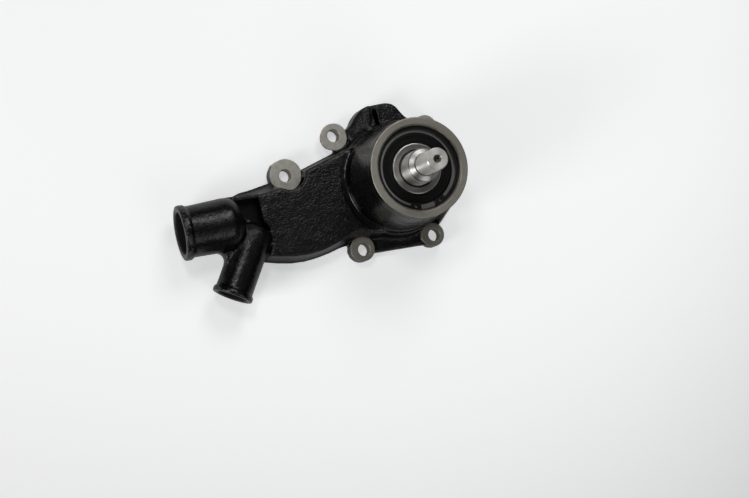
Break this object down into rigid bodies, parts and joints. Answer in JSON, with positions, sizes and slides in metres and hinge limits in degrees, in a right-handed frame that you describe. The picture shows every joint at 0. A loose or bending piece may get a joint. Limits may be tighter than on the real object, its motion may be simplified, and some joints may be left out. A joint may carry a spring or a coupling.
{
  "type": "engine water pump",
  "caption": "Belt-driven engine water pump: black cast body with a flat inlet passage, two hose spigots, bolt ears, sealed ball bearings, circlip and a stepped drive shaft.",
  "frame": {"origin": "on the shaft axis, at the machined rear joint face of the body", "axes": "+Z along the shaft towards the pulley end, -X towards the hose spigots, +Y towards the lobe between the two upper ears"},
  "size_m": [0.2215, 0.13, 0.1198],
  "materials": {
    "painted_iron": "semi-gloss black paint, machined faces bare",
    "bare_iron": "as cast",
    "ground_steel": "turned and ground",
    "bearing_steel": "ground",
    "spring_steel": "bright",
    "dark_spring_steel": "black phosphate",
    "seal_brass": "pressed",
    "black_rubber": "moulded",
    "carbon": "lapped carbon",
    "ceramic": "lapped ceramic",
    "gasket_sheet": "orange fibre sheet"
  },
  "bodies": {
    "pump_housing": {"pump_body": "painted_iron", "rear_gasket": "gasket_sheet", "bearing_circlip": "dark_spring_steel", "seal_case": "seal_brass", "seal_bellows": "black_rubber", "seal_spring": "spring_steel", "seal_carbon_ring": "carbon", "front_bearing_outer_ring": "bearing_steel", "front_bearing_front_seal": "black_rubber", "front_bearing_rear_seal": "black_rubber", "rear_bearing_outer_ring": "bearing_steel", "rear_bearing_front_seal": "black_rubber", "rear_bearing_rear_seal": "black_rubber"},
    "rotor": {"shaft": "ground_steel", "impeller": "bare_iron", "seal_seat": "ceramic", "seal_seat_cup": "black_rubber", "water_slinger": "black_rubber", "bearing_spacer": "ground_steel", "front_bearing_inner_ring": "bearing_steel", "rear_bearing_inner_ring": "bearing_steel"},
    "front_ball_set": {"front_bearing_balls": "bearing_steel", "front_bearing_cage": "spring_steel"},
    "rear_ball_set": {"rear_bearing_balls": "bearing_steel", "rear_bearing_cage": "spring_steel"}
  },
  "joints": [
    {"name": "rotor_spin", "type": "hinge", "parent": "pump_housing", "child": "rotor", "pos_m": [0, 0, 0], "axis": [0, 0, 1], "continuous": true},
    {"name": "front_ball_set_spin", "type": "hinge", "parent": "pump_housing", "child": "front_ball_set", "pos_m": [0, 0, 0], "axis": [0, 0, 1], "continuous": true},
    {"name": "rear_ball_set_spin", "type": "hinge", "parent": "pump_housing", "child": "rear_ball_set", "pos_m": [0, 0, 0], "axis": [0, 0, 1], "continuous": true}
  ],
  "couplings": [
    {"joint": "front_ball_set_spin", "follows": "rotor_spin", "ratio": 0.3753},
    {"joint": "rear_ball_set_spin", "follows": "rotor_spin", "ratio": 0.3753}
  ]
}
